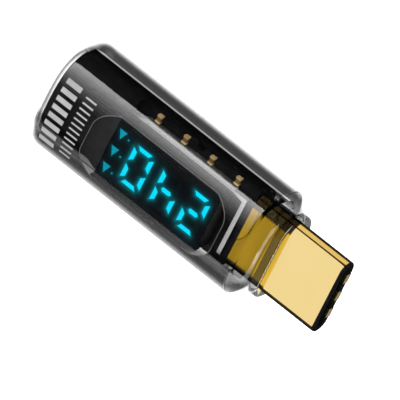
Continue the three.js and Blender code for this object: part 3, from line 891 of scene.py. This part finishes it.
def make_digits():
    """Light guides: the plate under the housing and the bars that stand up through it."""
    for name, lit_bars in SHOWN.items():
        low, high = node_box(f"digit_{name}")
        x0, x1 = local_x(low.x), local_x(high.x)
        outlines = digit_outlines(name)
        slots = [0 if letter in lit_bars else 1 for letter in SEGMENT_ORDER]
        piece = prisms(f"digit_{name}_bars", outlines, BAR_FOOT, local_z(high.z), slots)
        round_edges(piece, 0.03)
        base = box_outline(x0, x1, -GUIDE_PLATE_HALF, GUIDE_PLATE_HALF)
        plate = prisms(f"digit_{name}_plate", [base], local_z(low.z), GUIDE_PLATE_TOP)
        round_edges(plate, 0.05)
        stand_in(piece, f"digit_{name}", "digit_light", segment_lit, segment_off)
        stand_in(plate, f"digit_{name}", "digit_light", segment_off)
    low, high = node_box("unit_marks")
    piece = prisms("unit_pointers", unit_outlines(), BAR_FOOT, local_z(high.z))
    round_edges(piece, 0.02)
    stand_in(piece, "unit_marks", "digit_light", unit_lit, segment_off)


def distance_to(outline, x, y):
    """How far each grid point is from an outline's inside."""
    nearest = np.full(x.shape, 1e9)
    inside = np.ones(x.shape, dtype=bool)
    for (ax, ay), (bx, by) in zip(outline, outline[1:] + outline[:1]):
        dx, dy = bx - ax, by - ay
        along = np.clip(((x - ax) * dx + (y - ay) * dy) / (dx * dx + dy * dy), 0, 1)
        nearest = np.minimum(nearest, np.hypot(x - ax - along * dx, y - ay - along * dy))
        inside &= (x - ax) * dy - (y - ay) * dx <= 0
    return np.where(inside, 0.0, nearest)


def glow_at(x, y):
    """The lit bars' and marks' glow in the film: bright close to each, with a faint wide part."""
    glow = np.zeros(x.shape)
    for name, lit_bars in SHOWN.items():
        for letter, outline in zip(SEGMENT_ORDER, digit_outlines(name)):
            if letter in lit_bars:
                d = distance_to(outline, x, y)
                glow += 0.5 * np.exp(-d / 0.15) + 0.02 * np.exp(-d / 0.5)
    for mark in unit_outlines():
        glow += 0.08 * np.exp(-distance_to(mark, x, y) / 0.2)
    return np.clip(glow, 0, 1)


def make_film():
    """The dark film over the display, as a fine grid that stores the glow."""
    low, high = node_box("display_film")
    x0, x1, y1 = local_x(low.x), local_x(high.x), high.y / MM
    z0, z1 = local_z(low.z), local_z(high.z)
    step = 0.08
    nx, ny = round((x1 - x0) / step), round(2 * y1 / step)
    points, faces = [], []
    for z in (z0, z1):
        points += [
            (x0 + (x1 - x0) * i / nx, -y1 + 2 * y1 * j / ny, z)
            for j in range(ny + 1) for i in range(nx + 1)
        ]
    layer = (nx + 1) * (ny + 1)
    for j in range(ny):
        for i in range(nx):
            a = j * (nx + 1) + i
            quad = (a, a + 1, a + nx + 2, a + nx + 1)
            faces.append(tuple(layer + n for n in quad))
            faces.append(tuple(reversed(quad)))
    rim = list(range(nx)) + [nx + j * (nx + 1) for j in range(ny)]
    rim += [layer - 1 - i for i in range(nx)] + [(ny - j) * (nx + 1) for j in range(ny)]
    for a, b in zip(rim, rim[1:] + rim[:1]):
        faces.append((a, b, layer + b, layer + a))
    piece = mesh_piece("film_sheet", points, faces)
    x, y = np.array(points)[:, 0], np.array(points)[:, 1]
    glow = piece.data.attributes.new("glow", "FLOAT", "POINT")
    glow.data.foreach_set("value", glow_at(x, y).astype(np.float32))
    stand_in(piece, "display_film", "display_film", film_dark)


def make_carrier():
    """The pale frame under the display: a raised rim along its +Y side and across its front,
    and a recess inside them. Its recess floor and front face are painted near black and its
    recess walls painted grey, as shade. The slope of its rear corners is longer than it is wide."""
    low, high = node_box("display_frame")
    x0, x1, side = local_x(low.x), local_x(high.x), high.y / MM
    z0, z1 = local_z(low.z), local_z(high.z)
    step, step_x, slope_x, slope_y = 0.25, 20.3, 1.4, 0.6
    rim, depth = 0.46, 0.3
    half = [
        (x0, slope_y - side), (x0 + slope_x, -side), (step_x, -side), (step_x + 0.1, step - side),
        (x1, step - side),
    ]
    outline = half + [(x, -y) for x, y in reversed(half)]
    piece = prisms("display_carrier", [outline], z0, z1)
    recess = prisms("recess_cutter", [[
        (x0 - 1, -side - 1), (x1 - rim, -side - 1), (x1 - rim, side - step - rim),
        (step_x, side - rim), (x0 + slope_x, side - rim), (x0 - 1, side - 2 * rim),
    ]], z1 - depth, z1 + 1)
    boolean(piece, recess, "DIFFERENCE")
    drop(recess)
    front = at(x1, 0, 0).x
    top = at(0, 0, z1).z
    for face in piece.data.polygons:
        lowered = face.normal.z > 0.5 and face.center.z < top - depth * MM / 2
        ahead = face.normal.x > 0.5 and face.center.x > front - 0.1 * MM
        aside = abs(face.normal.y) > 0.5 and face.center.z < top - depth * MM / 2
        # Painted shade: the recess floor and front face take the near-black copy, the recess walls the
        # grey copy.
        face.material_index = 1 if lowered or ahead else 2 if aside else 0
    round_edges(piece, 0.04)
    stand_in(piece, "display_frame", "pale_plastic", pale, carrier_painted_deep_shade, carrier_painted_wall_shade)


# ------------------------------------------------------------------ board parts


def make_capacitors():
    """Four ceramic blocks, each with two gilt ends that stand a little proud."""
    end = 0.25
    swell = 0.05
    for i in range(4):
        node = f"capacitor_{i + 1}"
        low, high = node_box(node)
        x0, x1 = local_x(low.x), local_x(high.x)
        y0, y1 = low.y / MM, high.y / MM
        z0, z1 = local_z(low.z), local_z(high.z)
        body = prisms(f"chip_capacitor_{i + 1}", [
            box_outline(x0 + swell, x1 - swell, y0 + end / 2, y1 - end / 2)], z0 + swell, z1 - swell)
        ends = prisms(f"capacitor_ends_{i + 1}", [
            box_outline(x0, x1, y0, y0 + end), box_outline(x0, x1, y1 - end, y1)], z0, z1)
        round_edges(body, 0.03)
        round_edges(ends, 0.07, 3)
        stand_in(body, node, "capacitor_ceramic", ceramic)
        stand_in(ends, node, "capacitor_ceramic", gilt)


def make_receptacle_liner():
    """The receptacle's steel shell, with a rolled lip at its mouth."""
    low, high = node_box("receptacle_shell")
    x0, x1 = local_x(low.x), local_x(high.x)
    width, height = (high.y - low.y) / MM, (high.z - low.z) / MM
    sheet = 0.28
    lip = sheet / 2
    rings = [stadium_ring(x1, width, height)]
    for i in range(9):
        t = math.pi * i / 8
        pull = 2 * lip * (1 - math.cos(t))
        rings.append(stadium_ring(x0 + lip * (1 - math.sin(t)), width - pull, height - pull))
    rings.append(stadium_ring(x1, width - 2 * sheet, height - 2 * sheet))
    piece = loft("receptacle_liner", rings, closed=True)
    stand_in(piece, "receptacle_shell", "steel", steel)


def make_plug_contacts():
    """Each contact row: gilt strips along the mouth, with a black bar over their tails."""
    for side, row in ((1, "upper"), (-1, "lower")):
        node = f"plug_contacts_{row}"
        low, high = node_box(node)
        start, end = local_x(low.x), local_x(high.x)
        half_width = high.y / MM
        z = sorted(local_z(v) for v in (low.z, high.z))
        sheet = 0.1
        inner = z[0] if side > 0 else z[1]
        strips = [
            box_outline(PLUG_REAR_X + 0.4, end, y - 0.12, y + 0.12)
            for y in ((i - 5.5) * 0.5 for i in range(12))
        ]
        z0, z1 = sorted((inner, inner + side * sheet))
        piece = prisms(f"plug_contact_strips_{row}", strips, z0, z1)
        round_edges(piece, 0.02)
        cover = prisms(
            f"plug_tail_bar_{row}", [box_outline(start, PLUG_REAR_X + 0.3, -half_width, half_width)], *z)
        round_edges(cover, 0.06)
        stand_in(piece, node, "contact_gold", contact_gold)
        stand_in(cover, node, "contact_gold", board_black)


# ------------------------------------------------------------------ printing


def printed_bar(x0, x1, y0, y1):
    """The points and faces of one thin printed bar that follows the body's curve."""
    ink = 0.015
    steps = max(2, round((y1 - y0) / 0.12))
    points, faces = [], []
    for j in range(steps + 1):
        y = y0 + (y1 - y0) * j / steps
        top = body_top_z(y)
        points += [(x0, y, top - ink), (x1, y, top - ink), (x1, y, top + ink), (x0, y, top + ink)]
    for j in range(steps):
        a, b = 4 * j, 4 * j + 4
        faces += [(a + k, a + (k + 1) % 4, b + (k + 1) % 4, b + k) for k in range(4)]
    faces += [(3, 2, 1, 0), tuple(4 * steps + k for k in range(4))]
    return points, faces


def make_printing():
    """Two printed rows across the body: a scale of thick bars and one of thin ticks."""
    points, faces = [], []
    rows = [(1.55, 3.35, -3.95, 3.7, 8, 0.55), (4.05, 5.35, -3.7, 3.35, 12, 0.3)]
    for x0, x1, y0, y1, count, share in rows:
        pitch = (y1 - y0) / count
        for k in range(count):
            start = y0 + pitch * (k + (1 - share) / 2)
            bar_points, bar_faces = printed_bar(x0, x1, start, start + pitch * share)
            faces += [tuple(len(points) + n for n in face) for face in bar_faces]
            points += bar_points
    piece = mesh_piece("printed_scale", points, faces)
    stand_in(piece, None, "pale_plastic", print_white)


# ------------------------------------------------------------------ camera, floor and light

VIEW = Vector((0.321, 0.487, 0.812)).normalized()  # from the object towards the camera
AXIS_TILT = math.radians(38.26)  # how far the body's axis falls below the picture's horizontal
VIEW_SIZE = 0.03749


def make_camera():
    along = (Vector((1, 0, 0)) - VIEW * VIEW.x).normalized()
    across = Vector((0, VIEW.z, -VIEW.y)).normalized()
    right = along * math.cos(AXIS_TILT) + across * math.sin(AXIS_TILT)
    up = across * math.cos(AXIS_TILT) - along * math.sin(AXIS_TILT)
    target = at(17.4, 0, 0) - across * 0.572 * MM
    camera = bpy.data.objects.new("camera", bpy.data.cameras.new("camera"))
    camera.data.type = "ORTHO"
    camera.data.ortho_scale = VIEW_SIZE
    camera.data.clip_start = 0.001
    camera.data.clip_end = 10.0
    turn = Matrix((right, up, VIEW)).transposed().to_4x4()
    camera.matrix_world = Matrix.Translation(target + VIEW * 0.3) @ turn
    bpy.context.collection.objects.link(camera)
    bpy.context.scene.camera = camera


def make_floor():
    mesh = bpy.data.meshes.new("floor")
    half = 2.0
    z = cad_box[0].z
    corners = [(-half, -half, z), (half, -half, z), (half, half, z), (-half, half, z)]
    mesh.from_pydata(corners, [], [(0, 1, 2, 3)])
    floor = bpy.data.objects.new("floor", mesh)
    bpy.context.collection.objects.link(floor)
    material, tree, shader = new_material("floor_white")
    vary_colour(tree, shader, 5.0, (0.90, 0.90, 0.90), (0.93, 0.93, 0.93))
    shader.inputs["Roughness"].default_value = 0.9
    shader.inputs["Specular IOR Level"].default_value = 0.0
    dress(floor, material)
    floor.visible_glossy = False
    floor.visible_shadow = False
    return floor


def area_light(name, angle, width, depth, radiance, along=0.0, reach=0.35, sees=None):
    """A soft box turned to face the object. angle is from straight up towards +Y, width is the
    angle it spans, both in degrees. sees lists the only pieces it lights."""
    turn = math.radians(angle)
    lean = math.radians(along)
    direction = Vector((math.sin(lean), math.cos(lean) * math.sin(turn), math.cos(lean) * math.cos(turn)))
    data = bpy.data.lights.new(name, "AREA")
    data.shape = "RECTANGLE"
    data.size = depth
    data.size_y = 2 * reach * math.tan(math.radians(width) / 2)
    data.energy = radiance * math.pi * data.size * data.size_y
    light = bpy.data.objects.new(name, data)
    side = Vector((1, 0, 0))
    side = (side - direction * side.dot(direction)).normalized()
    light.matrix_world = Matrix.Translation(direction * reach) @ Matrix(
        (side, direction.cross(side), direction)).transposed().to_4x4()
    bpy.context.collection.objects.link(light)
    if sees is not None:
        light.light_linking.receiver_collection = sees
    return light


def gather(name, pieces):
    group = bpy.data.collections.new(name)
    for piece in pieces:
        group.objects.link(piece)
    return group


def pieces_in(materials):
    return [
        piece for piece in bpy.data.objects
        if piece.type == "MESH" and any(slot.material in materials for slot in piece.material_slots)
    ]


def make_light(floor):
    world = bpy.data.worlds.new("studio")
    world.use_nodes = True
    world.node_tree.nodes["Background"].inputs["Color"].default_value = (0.9, 0.92, 0.95, 1)
    world.node_tree.nodes["Background"].inputs["Strength"].default_value = 0.03
    bpy.context.scene.world = world
    clear = gather("clear_pieces", pieces_in((smoked, smoked_window, smoked_front, smoked_collar)))
    walls = gather("wall_pieces", pieces_in((smoked, smoked_window)))
    collar = gather("collar_pieces", pieces_in((smoked_collar,)))
    metals = gather("metal_pieces", pieces_in((gold, contact_gold, steel)))
    solids = gather("solid_pieces", [
        piece for piece in bpy.data.objects
        if piece.type == "MESH" and piece is not floor and piece.name not in clear.objects
    ])
    # The floor's own light meets nothing on its way, so the floor stays an even white.
    even = area_light("floor_light", 0, 90, 2.4, 4.4, reach=1.2, sees=gather("floor_only", [floor]))
    even.light_linking.blocker_collection = even.light_linking.receiver_collection
    fill = area_light("fill", 0, 74, 0.9, 4.4, reach=0.6, sees=solids)
    fill.visible_glossy = False
    area_light("overhead_box", 3, 128, 0.5, 0.9, along=-20, sees=metals)
    warm = area_light("metal_side_box", 111, 46, 0.5, 0.8, along=-20, sees=metals)
    warm.data.color = (1.0, 0.85, 0.5)
    area_light("metal_under_box", -149, 50, 0.3, 0.3, along=18, sees=metals)
    area_light("metal_front_box", -31, 44, 0.3, 0.9, along=36, sees=metals)
    # A soft box that fades from its sharp outer edge.
    strips = 10
    for i in range(strips):
        angle = 58.0 - 7 * i
        radiance = 6.3 * (1 - i / strips) ** 1.6
        area_light(f"side_strip_{i + 1}", angle, 7, 0.45, radiance, along=-18, sees=walls)
    area_light("collar_box", -31, 50, 0.3, 0.4, along=-18, sees=collar)
    area_light("low_strip", -58, 18, 0.45, 0.7, along=-18, sees=clear)
    area_light("side_box", -98, 44, 0.5, 0.7, along=-18, sees=clear)
    area_light("under_box", -149, 56, 0.5, 1.0, along=-18, sees=clear)
    area_light("line_box", 180, 20, 0.5, 6.0, along=-18, sees=clear)
    area_light("end_box", -149, 50, 0.3, 1.0, along=18, sees=clear)
    for i, (angle, along, sees) in enumerate(((-90, 45, clear), (-90, 80, clear), (90, 65, collar))):
        area_light(f"front_box_{i + 1}", angle, 36, 0.25, 5.5, along=along, sees=sees)


def main():
    bpy.context.scene.view_settings.view_transform = "Standard"
    slots = {entry["node"]: entry["material_slot"] for entry in frame["record"]["subparts"]}
    for node, piece in frame["nodes"].items():
        dress(piece, SLOT_LOOK[slots[node]])
    make_shell()
    make_window()
    make_seam_highlight()
    make_front_cap()
    make_collar()
    make_plug_shell()
    make_plug_nose()
    make_digits()
    make_film()
    make_carrier()
    make_capacitors()
    make_receptacle_liner()
    make_plug_contacts()
    make_printing()
    make_camera()
    make_light(make_floor())


main()
